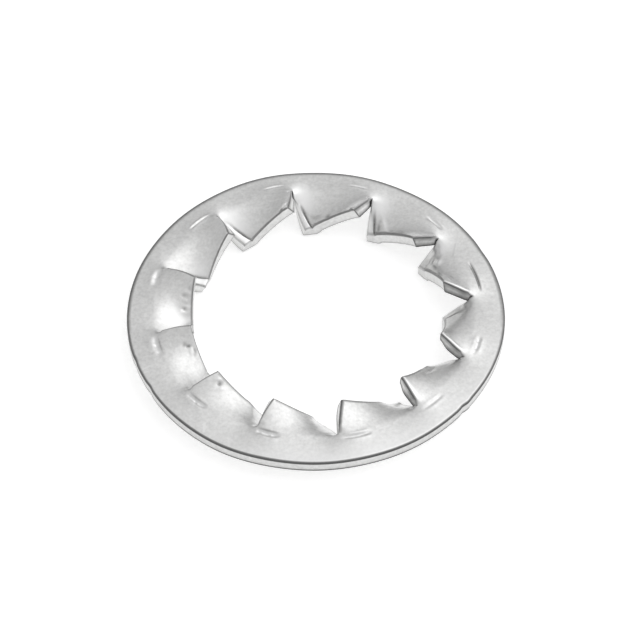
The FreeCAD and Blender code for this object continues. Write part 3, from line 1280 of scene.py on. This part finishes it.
@dataclass(frozen=True)
class Studio:
    """White table, soft light that is brightest overhead, and the camera."""

    table_size: float = 1.6
    sky: tuple[tuple[float, float], ...] = (
        (0.0, 0.04), (0.05, 0.08), (0.12, 0.5), (0.38, 0.59), (0.6, 0.65), (0.8, 0.7), (1.0, 0.77)
    )
    """Brightness of the surroundings from the horizon, at 0, to overhead, at 1."""
    lamp: tuple[tuple[float, float], ...] = (
        (0.5, 0.0), (0.62, 0.05), (0.7, 0.14), (0.76, 0.26), (0.82, 0.35), (0.91, 0.56), (1.0, 0.72)
    )
    """Brightness of the large soft lamp, from far off its middle to its middle, at 1."""
    lamp_side: tuple[float, float, float] = (0.64, 0.30, 0.69)
    """Where the lamp stands: to the right and behind, half way up."""
    elevation: float = 50.5
    azimuth: float = -83.0
    roll: float = -0.96
    distance: float = 16.0
    """Camera distance in outer radii."""
    lens: float = 169.3
    centre_x: float = 314.73
    centre_y: float = 310.85
    """Pixel where the middle of the ring's upper face shows."""
    frame_pixels: float = 640.0

    @staticmethod
    def seen(tree: Tree) -> Wire:
        """Tells rays that look, straight or by reflection, from those that light.

        Args:
            tree: The node tree.

        Returns:
            A wire that is 1 for rays that look and 0 for the rest.
        """
        total = None
        for name in ("Is Camera Ray", "Is Glossy Ray", "Is Transmission Ray"):
            ray = add_node(tree, "ShaderNodeLightPath", {}, out=name)
            total = ray if total is None else total.math("MAXIMUM", ray)
        return total

    def add_table(self) -> bpy.types.Object:
        """Lays the table under the washer.

        Returns:
            The table's object.
        """
        bpy.ops.object.select_all(action="DESELECT")
        bpy.ops.mesh.primitive_plane_add(size=self.table_size)
        table = bpy.context.object
        table.name = "table"
        table.data.materials.append(WhiteTable().make())
        return table

    def add_sky(self) -> None:
        """Lights the washer from all round, white to the camera."""
        world = bpy.data.worlds.new("studio")
        world.use_nodes = True
        bpy.context.scene.world = world
        tree = world.node_tree
        tree.nodes.clear()
        direction = add_node(tree, "ShaderNodeTexCoord", {}, out="Generated")
        parts = []
        for facing, stops in (((0, 0, 1), self.sky), (tuple(Vector(self.lamp_side).normalized()), self.lamp)):
            level = add_node(tree, "ShaderNodeVectorMath", {"operation": "DOT_PRODUCT"}, direction, facing,
                             out="Value")
            parts.append(add_node(tree, "ShaderNodeValToRGB", {"stops": stops}, level))
        soft = add_node(tree, "ShaderNodeBackground", {}, (1, 1, 1, 1), parts[0] + parts[1])
        plain = add_node(tree, "ShaderNodeBackground", {}, (1, 1, 1, 1), 1.0)
        straight = add_node(tree, "ShaderNodeLightPath", {}, out="Is Camera Ray")
        both = add_node(tree, "ShaderNodeMixShader", {}, straight, soft, plain)
        add_node(tree, "ShaderNodeOutputWorld", {}, both)

    def add_camera(self, target: Vector, radius: float) -> None:
        """Places the camera at the photograph's angle.

        Args:
            target: Middle of the ring's upper face.
            radius: Outer radius, in metres.
        """
        tilt, turn = math.radians(self.elevation), math.radians(self.azimuth)
        away = Vector((math.cos(tilt) * math.cos(turn), math.cos(tilt) * math.sin(turn), math.sin(tilt)))
        bpy.ops.object.camera_add(location=target + away * radius * self.distance)
        camera = bpy.context.object
        facing = (-away).to_track_quat("-Z", "Y").to_matrix().to_4x4()
        spin = Matrix.Rotation(math.radians(self.roll), 4, "Z")
        camera.matrix_world = Matrix.Translation(camera.location) @ facing @ spin
        camera.data.lens = self.lens
        camera.data.shift_x = (self.frame_pixels / 2 - self.centre_x) / self.frame_pixels
        camera.data.shift_y = (self.centre_y - self.frame_pixels / 2) / self.frame_pixels
        camera.data.clip_start = 0.001
        bpy.context.scene.camera = camera


def main() -> None:
    """Builds the washer, its finish and the studio, and attaches the washer to the root body in place of the
    hidden CAD part.
    """
    logging.basicConfig(level=logging.INFO, format="%(name)s %(message)s")
    bpy.context.scene.view_settings.view_transform = "Standard"
    plan = Washer()
    washer = plan.build()
    washer.data.materials.clear()
    washer.data.materials.append(SatinSteel().make())
    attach(washer, "root")
    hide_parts(NODE)
    studio = Studio()
    studio.add_table()
    studio.add_sky()
    studio.add_camera(Vector((0, 0, plan.top * MM)), plan.outer * MM)
    log.info("%s: %d faces", washer.name, len(washer.data.polygons))
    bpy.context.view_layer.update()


if __name__ == "__main__":
    main()
